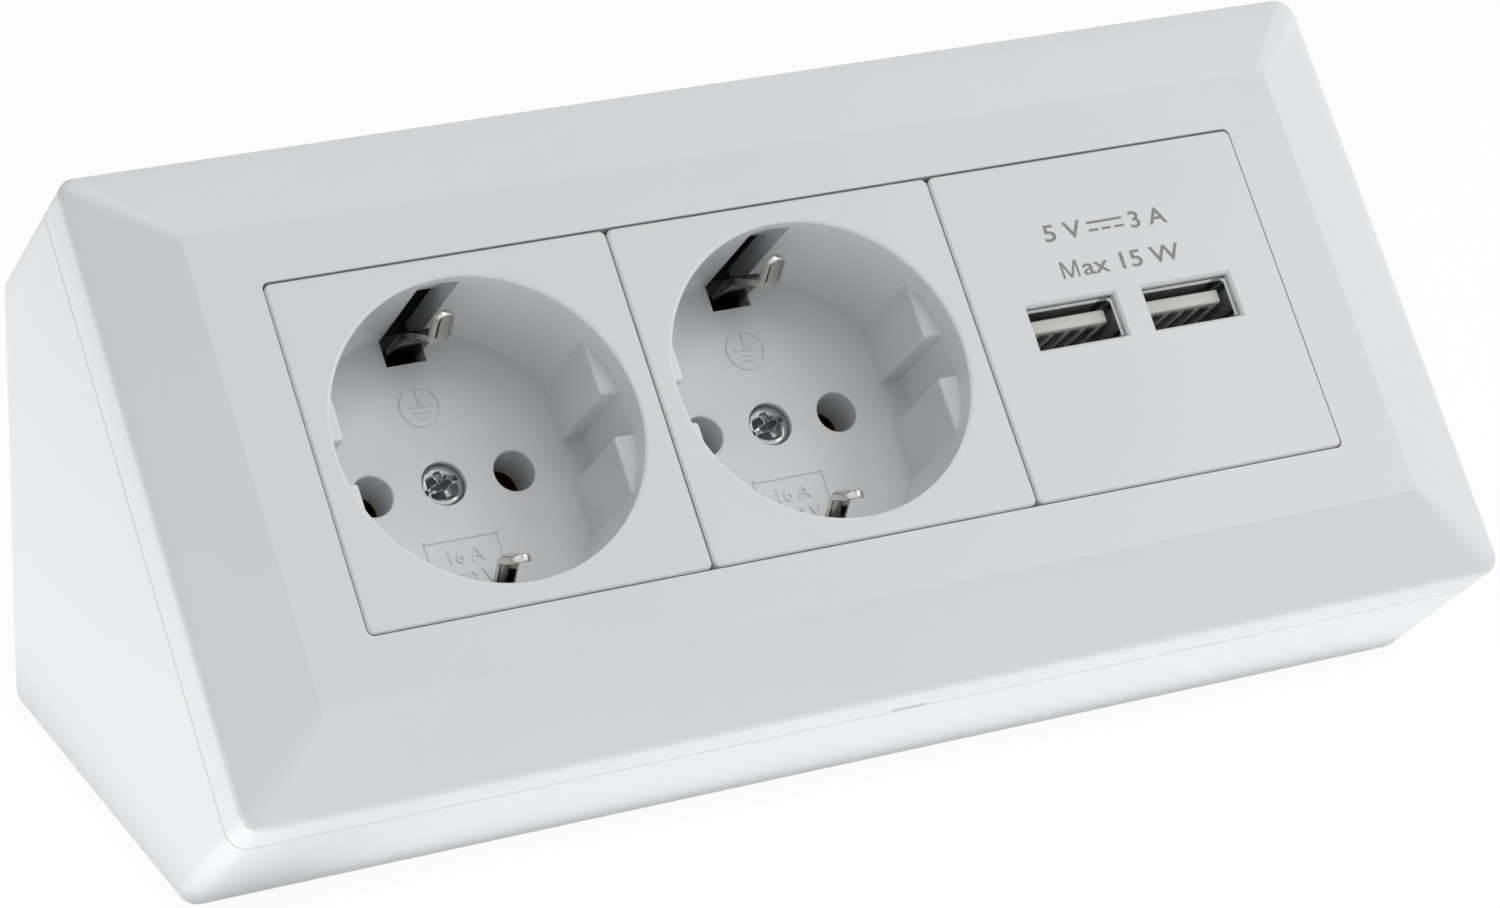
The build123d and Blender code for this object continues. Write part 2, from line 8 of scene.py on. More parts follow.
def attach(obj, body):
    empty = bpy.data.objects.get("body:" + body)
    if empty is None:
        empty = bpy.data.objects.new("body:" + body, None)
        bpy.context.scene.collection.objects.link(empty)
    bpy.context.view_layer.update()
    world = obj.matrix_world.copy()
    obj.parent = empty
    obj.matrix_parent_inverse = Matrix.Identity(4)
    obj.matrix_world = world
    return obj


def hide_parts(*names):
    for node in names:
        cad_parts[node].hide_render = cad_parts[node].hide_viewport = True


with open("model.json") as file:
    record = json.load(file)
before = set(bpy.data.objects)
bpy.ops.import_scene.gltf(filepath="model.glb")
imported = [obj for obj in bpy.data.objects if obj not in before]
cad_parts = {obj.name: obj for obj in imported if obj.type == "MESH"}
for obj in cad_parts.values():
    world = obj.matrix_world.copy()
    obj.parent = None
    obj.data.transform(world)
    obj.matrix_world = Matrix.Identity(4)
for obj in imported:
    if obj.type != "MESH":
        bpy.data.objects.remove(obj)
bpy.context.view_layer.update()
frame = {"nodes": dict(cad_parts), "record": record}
nodes = frame["nodes"]
mounts = {mount["name"]: mount for mount in frame["record"]["mounts"]}
slotOf = {part["node"]: part["material_slot"] for part in frame["record"]["subparts"]}
scene = bpy.context.scene
scene.view_settings.view_transform = "Standard"
mm = 0.001
print("frame loaded:", len(nodes), "nodes")

# The sloping face has its own axes: across the row, up the slope and out of the face
slope = math.sqrt(0.5)
across = Vector((1, 0, 0))
upSlope = Vector((0, slope, slope))
outward = Vector((0, -slope, slope))


def socketAxis(side):
    pins = [Vector(mounts[f"{side}_{pin}_pin_hole"]["pos_m"]) for pin in ("left", "right")]
    return (pins[0] + pins[1]) / 2


def topLevel(node):
    return max(vertex.co.dot(outward) for vertex in nodes[node].data.vertices)


faceLevel = topLevel("socket_cover_middle")
faceOrigin = socketAxis("middle")
faceOrigin += outward * (faceLevel - faceOrigin.dot(outward))
faceTurn = Matrix((across, upSlope, outward)).transposed().to_4x4()
faceMatrix = Matrix.Translation(faceOrigin) @ faceTurn @ Matrix.Scale(mm, 4)
socketPitch = (socketAxis("middle") - socketAxis("left")).length / mm
toFace = faceMatrix.inverted()


def faceBox(node):
    # lowest and highest corner of a node on the face's axes, in mm
    points = [toFace @ vertex.co for vertex in nodes[node].data.vertices]
    return [Vector([pick(point[axis] for point in points) for axis in range(3)]) for pick in (min, max)]


def middleOf(node):
    low, high = faceBox(node)
    return (low + high) / 2


chargerPlace = middleOf("usb_cover").x
portPlaces = [middleOf(f"usb_shell_{side}") for side in ("left", "right")]
pinHole = mounts["middle_left_pin_hole"]
recessFloor = (toFace @ Vector(pinHole["pos_m"])).z + pinHole["dims"]["length_mm"] / 2


# Colours and nodes

def linearColour(hexColour):
    # the sRGB curve, undone
    channels = [int(hexColour[start:start + 2], 16) / 255 for start in (1, 3, 5)]
    linear = [c / 12.92 if c <= 0.04045 else ((c + 0.055) / 1.055) ** 2.4 for c in channels]
    return (*linear, 1)


def addNode(tree, kind, settings=None, values=None, links=None):
    node = tree.nodes.new(kind)
    for name, value in (settings or {}).items():
        setattr(node, name, value)
    for socket, value in (values or {}).items():
        node.inputs[socket].default_value = value
    for socket, source in (links or {}).items():
        tree.links.new(source, node.inputs[socket])
    return node


mixA, mixB, mixOut = 6, 7, 2        # a Mix node's colour sockets, by their place
pureWhite = (1, 1, 1, 1)


def newMaterial(name, look):
    material = bpy.data.materials.new(name)
    material.use_nodes = True
    shader = material.node_tree.nodes["Principled BSDF"]
    shader.inputs["Metallic"].default_value = look.get("metallic", 0)
    if "ior" in look:
        shader.inputs["IOR"].default_value = look["ior"]
    return material, material.node_tree, shader


def perMm(size):
    return 1 / (size * mm)


def finishSurface(tree, shader, colour, cloud, gloss, height, strength, depth):
    # a colour, a gloss that drifts with the cloud, and the height's fine relief
    rough = addNode(tree, "ShaderNodeMapRange", values={"To Min": gloss[0], "To Max": gloss[1]},
                    links={"Value": cloud})
    relief = addNode(tree, "ShaderNodeBump", values={"Strength": strength, "Distance": depth * mm},
                     links={"Height": height})
    tree.links.new(colour.outputs[mixOut], shader.inputs["Base Color"])
    tree.links.new(rough.outputs["Result"], shader.inputs["Roughness"])
    tree.links.new(relief.outputs["Normal"], shader.inputs["Normal"])


def mouldedPlastic(name, look):
    # injection moulded: an even colour, a soft gloss that drifts a little, and the tool's fine grain
    material, tree, shader = newMaterial(name, look)
    place = addNode(tree, "ShaderNodeTexCoord").outputs["Object"]
    drift = addNode(tree, "ShaderNodeTexNoise", values={"Scale": perMm(look["driftSize"]), "Detail": 3},
                    links={"Vector": place}).outputs["Fac"]
    grain = addNode(tree, "ShaderNodeTexNoise", values={"Scale": perMm(look["grainSize"]), "Detail": 2},
                    links={"Vector": place}).outputs["Fac"]
    colour = addNode(tree, "ShaderNodeMix", {"data_type": "RGBA"},
                     {mixA: linearColour(look["dark"]), mixB: linearColour(look["light"])}, {0: drift})
    finishSurface(tree, shader, colour, drift, look["gloss"],
                  grain, look["grainStrength"], look["grainDepth"])
    return material


def platedMetal(name, look):
    # rolled or turned metal under thin plating: fine drawn lines along one axis and a cloudy gloss
    material, tree, shader = newMaterial(name, look)
    place = addNode(tree, "ShaderNodeTexCoord").outputs["Object"]
    drawn = addNode(tree, "ShaderNodeMapping", values={"Scale": look["drawn"]}, links={"Vector": place})
    lines = addNode(tree, "ShaderNodeTexNoise", values={"Scale": perMm(look["lineSize"]), "Detail": 2},
                    links={"Vector": drawn.outputs["Vector"]}).outputs["Fac"]
    cloud = addNode(tree, "ShaderNodeTexNoise", values={"Scale": perMm(look["cloudSize"]), "Detail": 3},
                    links={"Vector": place}).outputs["Fac"]
    colour = addNode(tree, "ShaderNodeMix", {"data_type": "RGBA"},
                     {mixA: linearColour(look["dark"]), mixB: linearColour(look["light"])}, {0: cloud})
    if "shadeColour" in look:
        # painted shade: deeper in the pocket the plating is coloured near black, for the shade there and
        # the dark pocket it mirrors; nearer the face it keeps its own colour
        level = addNode(tree, "ShaderNodeVectorMath", {"operation": "DOT_PRODUCT"}, {1: outward},
                        {0: place})
        low, high = [faceLevel + depth * mm for depth in look["shadeLevels"]]
        unshaded = addNode(tree, "ShaderNodeMapRange", values={"From Min": low, "From Max": high},
                         links={"Value": level.outputs["Value"]})
        colour = addNode(tree, "ShaderNodeMix", {"data_type": "RGBA"}, {mixA: linearColour(look["shadeColour"])},
                         {0: unshaded.outputs["Result"], mixB: colour.outputs[mixOut]})
    finishSurface(tree, shader, colour, cloud, look["gloss"],
                  lines, look["lineStrength"], look["lineDepth"])
    return material


plasticLook = {"driftSize": 30, "grainSize": 0.35, "grainStrength": 0.12, "grainDepth": 0.01, "ior": 1.53}
metalLook = {"metallic": 1, "drawn": (1, 8, 8), "lineSize": 0.6, "lineStrength": 0.2, "lineDepth": 0.01,
             "cloudSize": 2.5}

# ABS, moulded in a polished tool: clean white with a satin gloss
whiteAbs = mouldedPlastic("white_abs_satin", plasticLook | {
    "dark": "#E5E7E9", "light": "#EAECED", "gloss": (0.26, 0.34)})
# Polycarbonate of the inserts: as white as the frame, slightly glossier
whitePolycarbonate = mouldedPlastic("white_polycarbonate_moulded", plasticLook | {
    "dark": "#E5E7E9", "light": "#EBECED", "gloss": (0.22, 0.3), "ior": 1.58})
# Glass-filled polyamide inside: matt warm grey
greyPolyamide = mouldedPlastic("grey_polyamide_matt", plasticLook | {
    "dark": "#6E6F70", "light": "#7C7D7D", "gloss": (0.55, 0.7), "grainStrength": 0.3})
# Liquid crystal polymer of a port's tongue: pale, dry and slightly grey
paleTongue = mouldedPlastic("pale_polymer_tongue", plasticLook | {
    "dark": "#DCDCD8", "light": "#E4E4E0", "gloss": (0.4, 0.5)})
# Extruded PVC on the wires: strong colour, waxy and soft
wireLook = plasticLook | {"gloss": (0.4, 0.5)}
brownPvc = mouldedPlastic("brown_pvc_wire", wireLook | {"dark": "#4A2814", "light": "#5A3219"})
bluePvc = mouldedPlastic("blue_pvc_wire", wireLook | {"dark": "#1E3F8F", "light": "#264CA3"})
greenPvc = mouldedPlastic("green_pvc_wire", wireLook | {"dark": "#5E8F1C", "light": "#A9B52A"})
# Polyamide of the supply terminal: dull green
greenTerminal = mouldedPlastic("green_polyamide_terminal", plasticLook | {
    "dark": "#2F6B45", "light": "#377850", "gloss": (0.45, 0.6)})
# Printed board: green lacquer over glass weave, slightly mottled
greenLaminate = mouldedPlastic("green_lacquered_laminate", plasticLook | {
    "dark": "#14502B", "light": "#1A5E34", "gloss": (0.25, 0.4), "driftSize": 4})
# Sintered ferrite: near black, dull and grainy
blackFerrite = mouldedPlastic("black_sintered_ferrite", plasticLook | {
    "dark": "#1C1C1E", "light": "#29292B", "gloss": (0.55, 0.75), "grainStrength": 0.5})
# Shrink sleeve on the cans: dark blue, glossy
blueSleeve = mouldedPlastic("blue_shrink_sleeve", plasticLook | {
    "dark": "#1B2436", "light": "#232E45", "gloss": (0.2, 0.3)})
# Screen printing ink: flat mid grey with slightly worn patches
greyInk = mouldedPlastic("grey_screen_ink", plasticLook | {
    "dark": "#7E7F7F", "light": "#979897", "gloss": (0.5, 0.6), "driftSize": 0.8})
# Nickel on spring bronze: warm silver that mirrors the white cup around it, with painted shade near black
# deeper in the pocket
nickelPlate = platedMetal("nickel_plated_bronze", metalLook | {
    "dark": "#BDBAB4", "light": "#D6D3CD", "gloss": (0.06, 0.12), "lineStrength": 0.12,
    "shadeColour": "#33312E", "shadeLevels": (-11.5, -7.5)})
# Zinc on steel: cooler and a little duller
zincPlate = platedMetal("zinc_plated_steel", metalLook | {
    "dark": "#A9ADB1", "light": "#C4C8CA", "gloss": (0.09, 0.16), "drawn": (4, 4, 4)})
# Stamped stainless shell of the ports: bright, with rolling lines
stainless = platedMetal("stainless_stamped", metalLook | {
    "dark": "#A8AAAC", "light": "#BCBEBF", "gloss": (0.04, 0.08), "lineStrength": 0.08})
# Spring steel of the terminals: plain rolled strip, grey and a little dull
springSteel = platedMetal("spring_steel_strip", metalLook | {
    "dark": "#85888C", "light": "#A0A3A6", "gloss": (0.2, 0.35)})
# Brass contacts, drawn and left bare: warm yellow with a soft shine
brass = platedMetal("bare_drawn_brass", metalLook | {
    "dark": "#B08A3C", "light": "#CBA552", "gloss": (0.25, 0.4)})
# Contact leaves of the ports: painted shade, a dark grey that stands for the shadow inside the shell rather
# than the metal's own colour
shadedLeaf = platedMetal("contact_leaf_painted_shade", metalLook | {
    "dark": "#4A4A49", "light": "#6A6A68", "gloss": (0.25, 0.35)})

slotLooks = {
    "housing_white": whiteAbs,
    "insert_white": whitePolycarbonate,
    "inner_plastic": greyPolyamide,
    "zinc_screw": zincPlate,
    "nickel_strap": nickelPlate,
    "contact_brass": brass,
    "spring_steel": springSteel,
    "port_steel": stainless,
    "tongue_plastic": paleTongue,
    "port_contact": shadedLeaf,
    "board": greenLaminate,
    "ferrite": blackFerrite,
    "capacitor_can": blueSleeve,
    "terminal_plastic": greenTerminal,
    "line_wire": brownPvc,
    "neutral_wire": bluePvc,
    "earth_wire": greenPvc,
}
for name, node in nodes.items():
    node.data.materials.clear()
    node.data.materials.append(slotLooks[slotOf[name]])
print("materials made:", len(bpy.data.materials))


# Helpers for pieces

def addPiece(name, mesh, material, slot, *replaced):
    piece = bpy.data.objects.new(name, mesh)
    scene.collection.objects.link(piece)
    mesh.materials.clear()
    mesh.materials.append(material)
    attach(piece, "root")
    if replaced:
        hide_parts(*replaced)
    return piece


def smooth(mesh, sharpAngle):
    mesh.shade_smooth()
    mesh.set_sharp_from_angle(angle=math.radians(sharpAngle))


flatsFirst = 100        # the modifier's strongest setting


def evenNormals(piece):
    # large flats keep their own normal next to small round edges
    modifier = piece.modifiers.new("evenNormals", "WEIGHTED_NORMAL")
    modifier.keep_sharp = True
    modifier.weight = flatsFirst


weldGap = 0.002 * mm


def weldedMesh(node, name):
    welded = bmesh.new()
    welded.from_mesh(nodes[node].data)
    bmesh.ops.remove_doubles(welded, verts=welded.verts, dist=weldGap)
    welded.verts.index_update()
    mesh = bpy.data.meshes.new(name)
    corners = [[vertex.index for vertex in face.verts] for face in welded.faces]
    mesh.from_pydata([vertex.co for vertex in welded.verts], [], corners)
    welded.free()
    return mesh


# Moulded shells: the solids with their round faces shaded as round

shells = {
    "base_housing": ("housingShell", 28),
    "front_frame": ("frontFrame", 40),
    "socket_cover_left": ("socketFaceLeft", 28),
    "socket_cover_middle": ("socketFaceMiddle", 28),
    "usb_cover": ("chargerFace", 28),
}
seamLook = {"corner": 0.9, "shift": 0.225}      # the row of inserts sits against the window's right side
ribLook = {"chord": 16.75, "gap": 2.75, "top": -3.5, "round": 0.55, "steps": 3, "near": 0.01}
rimLook = {"recess": 0.2, "pinHole": 0.3, "steps": 3, "near": 0.02}      # radius of each mouth's round edge


def roundRibs(mesh, middle):
    # the guide ribs' flats become single faces, and the edges between them are rounded
    look = ribLook

    def plane(face):
        spots = [vertex.co - middle for vertex in face.verts]
        for axis, level in ((0, look["chord"]), (1, look["gap"]), (2, look["top"])):
            sides = (level,) if axis == 2 else (level, -level)
            for side in sides:
                if all(abs(spot[axis] - side) < look["near"] for spot in spots):
                    return axis, side
        return None

    mesh.transform(toFace)
    build = bmesh.new()
    build.from_mesh(mesh)
    flats = {face: plane(face) for face in build.faces}
    inner = [edge for edge in build.edges if len(edge.link_faces) == 2
             and flats[edge.link_faces[0]] and flats[edge.link_faces[0]] == flats[edge.link_faces[1]]]
    bmesh.ops.dissolve_edges(build, edges=inner, use_verts=False, use_face_split=False)
    flats = {face: plane(face) for face in build.faces}
    corners = [edge for edge in build.edges if len(edge.link_faces) == 2
               and all(flats[face] for face in edge.link_faces)
               and flats[edge.link_faces[0]][0] != flats[edge.link_faces[1]][0]]
    bmesh.ops.bevel(build, geom=corners, offset=look["round"], segments=look["steps"], profile=0.5,
                    affect="EDGES", clamp_overlap=True)
    print("rib edges rounded:", len(corners))
    roundRims(build, middle)
    build.to_mesh(mesh)
    build.free()
    mesh.transform(faceMatrix)


def roundRims(build, middle):
    # the mouths of the recess and of its pin holes
    pinPlace = abs((toFace @ Vector(pinHole["pos_m"])).x)
    pinRadius = pinHole["dims"]["r_mm"]
    near = rimLook["near"]
    flats = [vertex.co - middle for vertex in build.verts if abs(vertex.co.z) < near]
    recessRadius = min(math.hypot(spot.x, spot.y) for spot in flats)
    mouths = [(0, 0, recessRadius, "recess"), (pinPlace, recessFloor, pinRadius, "pinHole"),
              (-pinPlace, recessFloor, pinRadius, "pinHole")]
    for place, level, radius, kind in mouths:
        rim = {vertex for vertex in build.verts if abs(vertex.co.z - level) < near
               and abs(math.hypot(vertex.co.x - middle.x - place, vertex.co.y) - radius) < near}
        edges = [edge for edge in build.edges if all(vertex in rim for vertex in edge.verts)]
        bmesh.ops.bevel(build, geom=edges, offset=rimLook[kind], segments=rimLook["steps"], profile=0.5,
                        affect="EDGES", clamp_overlap=True)
        print("mouth rounded:", kind, len(edges), "edges")


def closeSeam(mesh):
    # the window's right wall, with its corners, moves to the charger
    high = faceBox("usb_cover")[1]
    mesh.transform(toFace)
    for vertex in mesh.vertices:
        place = vertex.co
        beside = -seamLook["corner"] < place.x - high.x < 2 * seamLook["shift"]
        if beside and abs(place.y) < high.y + 2 * seamLook["shift"]:
            place.x -= seamLook["shift"]
    mesh.transform(faceMatrix)


for node, (name, sharpAngle) in shells.items():
    mesh = weldedMesh(node, name)
    if node == "front_frame":
        closeSeam(mesh)
    if node.startswith("socket_cover"):
        roundRibs(mesh, Vector((middleOf(node).x, 0, 0)))
    smooth(mesh, sharpAngle)
    piece = addPiece(name, mesh, slotLooks[slotOf[node]], slotOf[node], node)
    evenNormals(piece)
print("shells copied:", len(shells))


# What repeats: one tree sets copies of a piece in a row

def makeRowTree():
    tree = bpy.data.node_groups.new("rowOfPieces", "GeometryNodeTree")
    inputs = {"Piece": "NodeSocketObject", "Count": "NodeSocketInt", "Start": "NodeSocketVector",
              "Step": "NodeSocketVector", "Finish": "NodeSocketMaterial"}
    for label, kind in inputs.items():
        tree.interface.new_socket(name=label, in_out="INPUT", socket_type=kind)
    tree.interface.new_socket(name="Row", in_out="OUTPUT", socket_type="NodeSocketGeometry")
    given = addNode(tree, "NodeGroupInput").outputs
    line = addNode(tree, "GeometryNodeMeshLine", {"mode": "OFFSET"}, links={
        "Count": given["Count"], "Start Location": given["Start"], "Offset": given["Step"]})
    piece = addNode(tree, "GeometryNodeObjectInfo", links={"Object": given["Piece"]})
    copies = addNode(tree, "GeometryNodeInstanceOnPoints", links={
        "Points": line.outputs["Mesh"], "Instance": piece.outputs["Geometry"]})
    real = addNode(tree, "GeometryNodeRealizeInstances", links={"Geometry": copies.outputs["Instances"]})
    finish = addNode(tree, "GeometryNodeSetMaterial", links={
        "Geometry": real.outputs["Geometry"], "Material": given["Finish"]})
    addNode(tree, "NodeGroupOutput", links={"Row": finish.outputs["Geometry"]})
    return tree


rowTree = makeRowTree()
rowInputs = {item.name: item.identifier for item in rowTree.interface.items_tree if item.in_out == "INPUT"}


def looseObject(name, mesh):
    loose = bpy.data.objects.new(name, mesh)
    scene.collection.objects.link(loose)
    return loose


def evaluatedMesh(loose):
    depsgraph = bpy.context.evaluated_depsgraph_get()
    return bpy.data.meshes.new_from_object(loose.evaluated_get(depsgraph), depsgraph=depsgraph)


def rowOnFace(name, pieceMesh, count, start, step, material):
    # copies of a mesh drawn in mm on the face's axes, as one plain mesh in its place on the object
    source = looseObject(name + "One", pieceMesh)
    holder = looseObject(name + "Row", bpy.data.meshes.new(name + "Row"))
    row = holder.modifiers.new("row", "NODES")
    row.node_group = rowTree
    values = {"Piece": source, "Count": count, "Start": start, "Step": step, "Finish": material}
    for label, value in values.items():
        row[rowInputs[label]] = value
    mesh = evaluatedMesh(holder)
    holder.modifiers.remove(row)
    bpy.data.objects.remove(holder)
    bpy.data.objects.remove(source)
    mesh.transform(faceMatrix)
    mesh.name = name
    return mesh


def onBothSockets(name, pieceMesh, material):
    # from the middle socket to the left one
    return rowOnFace(name, pieceMesh, 2, (0, 0, 0), (-socketPitch, 0, 0), material)


# Drawing helpers, all in mm on the face's axes

def meshFrom(name, build):
    mesh = bpy.data.meshes.new(name)
    build.normal_update()
    build.to_mesh(mesh)
    build.free()
    return mesh


def joinLoops(build, loops):
    # faces from loop to loop; a loop that is one point repeated gives triangles
    for lower, upper in zip(loops, loops[1:]):
        for k in range(len(lower)):
            after = (k + 1) % len(lower)
            corners = list(dict.fromkeys((lower[k], lower[after], upper[after], upper[k])))
            if len(corners) > 2:
                build.faces.new(corners)


def addPrism(build, outline, levels):
    # an outline raised from one level to another
    low, high = [[build.verts.new((x, y, level)) for x, y in outline] for level in levels]
    build.faces.new(low[::-1])
    build.faces.new(high)
    joinLoops(build, (low, high))


def addBlock(build, x, y, z):
    addPrism(build, ((x[0], y[0]), (x[1], y[0]), (x[1], y[1]), (x[0], y[1])), z)


axisNear = 1e-6         # mm, a point as near as this is on the axis


def addTurned(build, outline, steps, closed=False):
    # ring of an outline of (radius, level) points about the z axis
    turns = [2 * math.pi * k / steps for k in range(steps)]
    rings = []
    for radius, level in outline:
        if math.isclose(radius, 0, abs_tol=axisNear):
            rings.append([build.verts.new((0, 0, level))] * steps)
        else:
            places = [(radius * math.cos(turn), radius * math.sin(turn), level) for turn in turns]
            rings.append([build.verts.new(place) for place in places])
    joinLoops(build, rings + rings[:1] if closed else rings)


# Centre screws: pan heads with a slot and a cross

screwLook = {
    "headRadius": 2.7, "headHeight": 1.5, "crown": 0.45, "crownSteps": 8, "rim": 0.25,
    "shankRadius": 1.45, "shankLength": 9.0,
    "slotWidth": 0.75, "slotDepth": 0.55, "crossWidth": 0.95, "crossLength": 3.3, "crossDepth": 1.0,
    "cutterClear": 1.0, "edge": 0.07, "edgeSteps": 2, "edgeAngle": 40,
    "turn": 17, "steps": 64, "sharpAngle": 35,
}


def screwMesh():
    look = screwLook
    headTop, head = look["headHeight"], look["headRadius"]
    seat = faceBox("cover_screw_middle")[1].z - headTop
    side = headTop - look["crown"]
    shank, shankEnd = look["shankRadius"], -look["shankLength"]
    outline = [(0, shankEnd), (shank, shankEnd), (shank, 0),
               (head - look["rim"], 0), (head, look["rim"]), (head, side)]
    for k in range(1, look["crownSteps"] + 1):
        bend = math.radians(90 * k / look["crownSteps"])
        outline.append((head * math.cos(bend), side + look["crown"] * math.sin(bend)))
    build = bmesh.new()
    addTurned(build, outline, look["steps"])
    bmesh.ops.recalc_face_normals(build, faces=build.faces)
    blank = looseObject("screwBlank", meshFrom("screwBlank", build))

    # the slot runs across the whole head, the cross is two short cuts
    cuts = ((2 * (head + look["cutterClear"]), look["slotWidth"], look["slotDepth"]),
            (look["crossWidth"], look["crossLength"], look["crossDepth"]),
            (look["crossLength"], look["crossWidth"], look["crossDepth"]))
    helpers = [blank]
    for length, width, depth in cuts:
        block = bmesh.new()
        addBlock(block, (-length / 2, length / 2), (-width / 2, width / 2),
                 (headTop - depth, headTop + look["cutterClear"]))
        cutter = looseObject("driveCutter", meshFrom("driveCutter", block))
        cut = blank.modifiers.new("drive", "BOOLEAN")
        cut.operation = "DIFFERENCE"
        cut.solver = "EXACT"
        cut.object = cutter
        helpers.append(cutter)
    soften = blank.modifiers.new("edges", "BEVEL")
    soften.width = look["edge"]
    soften.segments = look["edgeSteps"]
    soften.limit_method = "ANGLE"
    soften.angle_limit = math.radians(look["edgeAngle"])
    mesh = evaluatedMesh(blank)
    for helper in helpers:
        bpy.data.objects.remove(helper)
    smooth(mesh, look["sharpAngle"])
    mesh.transform(Matrix.Translation((0, 0, seat)) @ Matrix.Rotation(math.radians(look["turn"]), 4, "Z"))
    return mesh


coverScrews = onBothSockets("coverScrews", screwMesh(), zincPlate)
addPiece("coverScrews", coverScrews, zincPlate, "zinc_screw", "cover_screw_left", "cover_screw_middle")
print("screws made")


# Earth straps: one strip from arm to arm, swept with round edges

strapLook = {
    "thickness": 1.0, "width": 5.0, "armWidth": 2.8, "edge": 0.32,
    "shoulder": (-13.6, -10.6),          # levels between which the strip narrows to the arm
    "tipRound": 1.3, "tipLeast": 0.02,      # the tip's radius, and how much of its round is left flat
    "arm": ((18.0, None), (17.45, -12.0), (14.25, -6.5), (16.05, -2.2)),   # reach and level of its bends
    "bends": (1.0, 2.2, 1.5), "bendSteps": 8, "runStep": 0.25, "edgeSteps": 3,
    "crown": 0.3, "crowned": (-11.0, -8.0),     # the arms are pressed hollow above these levels
    "acrossSteps": 8, "sharpAngle": 50,
}


def bentLine(points, radii, steps):
    # straight runs joined by arcs
    line = [Vector(points[0])]
    for before, corner, after, radius in zip(points, points[1:], points[2:], radii):
        corner = Vector(corner)
        back, on = (Vector(before) - corner).normalized(), (Vector(after) - corner).normalized()
        half = back.angle(on) / 2
        reach = radius / math.tan(half)
        centre = corner + (back + on).normalized() * (radius / math.sin(half))
        start, end = corner + back * reach - centre, corner + on * reach - centre
        for k in range(steps + 1):
            share = k / steps
            bow = (start * (1 - share) + end * share).normalized() * radius
            line.append(centre + bow)
    line.append(Vector(points[-1]))
    return line


def spaced(line, step):
    points = [line[0]]
    for before, after in zip(line, line[1:]):
        count = max(1, round((after - before).length / step))
        points += [before.lerp(after, k / count) for k in range(1, count + 1)]
    return points


def stripSection(halfWidth, halfSheet, crown):
    # rounded rectangle, across then through the sheet, with its faces bowed by the crown
    steps, across = strapLook["edgeSteps"], strapLook["acrossSteps"]
    edge = min(strapLook["edge"], halfWidth, halfSheet)
    section = []
    for turn, (sx, sy) in enumerate(((1, 1), (-1, 1), (-1, -1), (1, -1))):
        for k in range(steps + 1):
            bend = math.radians(90 * (turn + k / steps))
            section.append((sx * (halfWidth - edge) + edge * math.cos(bend),
                            sy * (halfSheet - edge) + edge * math.sin(bend)))
        if sx == sy:
            # from this corner straight across to the next
            flat = sx * (halfWidth - edge)
            section += [(flat * (1 - 2 * k / across), sy * halfSheet) for k in range(1, across)]
    return [(x, t - crown * (x / halfWidth) ** 2) for x, t in section]


def strapMesh():
    look = strapLook
    floorLevel = faceBox("earth_strap_middle")[0].z + look["thickness"] / 2
    arm = [Vector((reach, floorLevel if level is None else level)) for reach, level in look["arm"]]
    points = [Vector((-p.x, p.y)) for p in reversed(arm)] + arm
    radii = [*reversed(look["bends"]), *look["bends"]]
    line = spaced(bentLine(points, radii, look["bendSteps"]), look["runStep"])
    low, high = look["shoulder"]
    flatLevel, crownLevel = look["crowned"]
    travelled = [0.0]
    for before, after in zip(line, line[1:]):
        travelled.append(travelled[-1] + (after - before).length)
    build = bmesh.new()
    rings = []
    for index, point in enumerate(line):
        ahead = line[min(index + 1, len(line) - 1)] - line[max(index - 1, 0)]
        along = ahead.normalized()
        through = Vector((-along.y, along.x))
        share = min(max((point.y - low) / (high - low), 0), 1)
        arch = math.sqrt(max(0, 1 - share * share))
        width = look["armWidth"] + (look["width"] - look["armWidth"]) * arch
        toEnd = min(travelled[index], travelled[-1] - travelled[index])
        left = max(0, 1 - toEnd / look["tipRound"])
        width *= math.sqrt(max(look["tipLeast"], 1 - left * left))
        crown = look["crown"] * min(max((point.y - flatLevel) / (crownLevel - flatLevel), 0), 1)
        crown *= width / look["armWidth"]
        section = stripSection(width / 2, look["thickness"] / 2, crown)
        places = [(x, *(point + through * t)) for x, t in section]
        rings.append([build.verts.new(place) for place in places])
    joinLoops(build, rings)
    build.faces.new(rings[0][::-1])
    build.faces.new(rings[-1])
    bmesh.ops.recalc_face_normals(build, faces=build.faces)
    mesh = meshFrom("strap", build)
    smooth(mesh, look["sharpAngle"])
    return mesh


earthStraps = onBothSockets("earthStraps", strapMesh(), nickelPlate)
addPiece("earthStraps", earthStraps, nickelPlate, "nickel_strap", "earth_strap_left", "earth_strap_middle")
print("earth straps made")


# USB ports: shells with flared mouths and tongues with soft edges, one of each set twice

portLook = {
    "sheet": 0.3, "outerCorner": 0.8, "cornerSteps": 5, "flare": 0.28, "flareDepth": 0.3, "sharpAngle": 30,
    "tongueWidth": 11.1, "tongueThickness": 1.8, "tongueRise": 0.9, "tongueEdge": 0.28, "tongueSteps": 3,
    "tongueSharp": 40, "rootDepth": 5.0, "rootGap": 0.15,
}


def roundedLoop(build, width, height, corner, steps, level):
    loop = []
    for turn, (sx, sy) in enumerate(((1, 1), (-1, 1), (-1, -1), (1, -1))):
        for k in range(steps + 1):
            bend = math.radians(90 * (turn + k / steps))
            loop.append(build.verts.new((sx * (width / 2 - corner) + corner * math.cos(bend),
                                         sy * (height / 2 - corner) + corner * math.sin(bend), level)))
    return loop


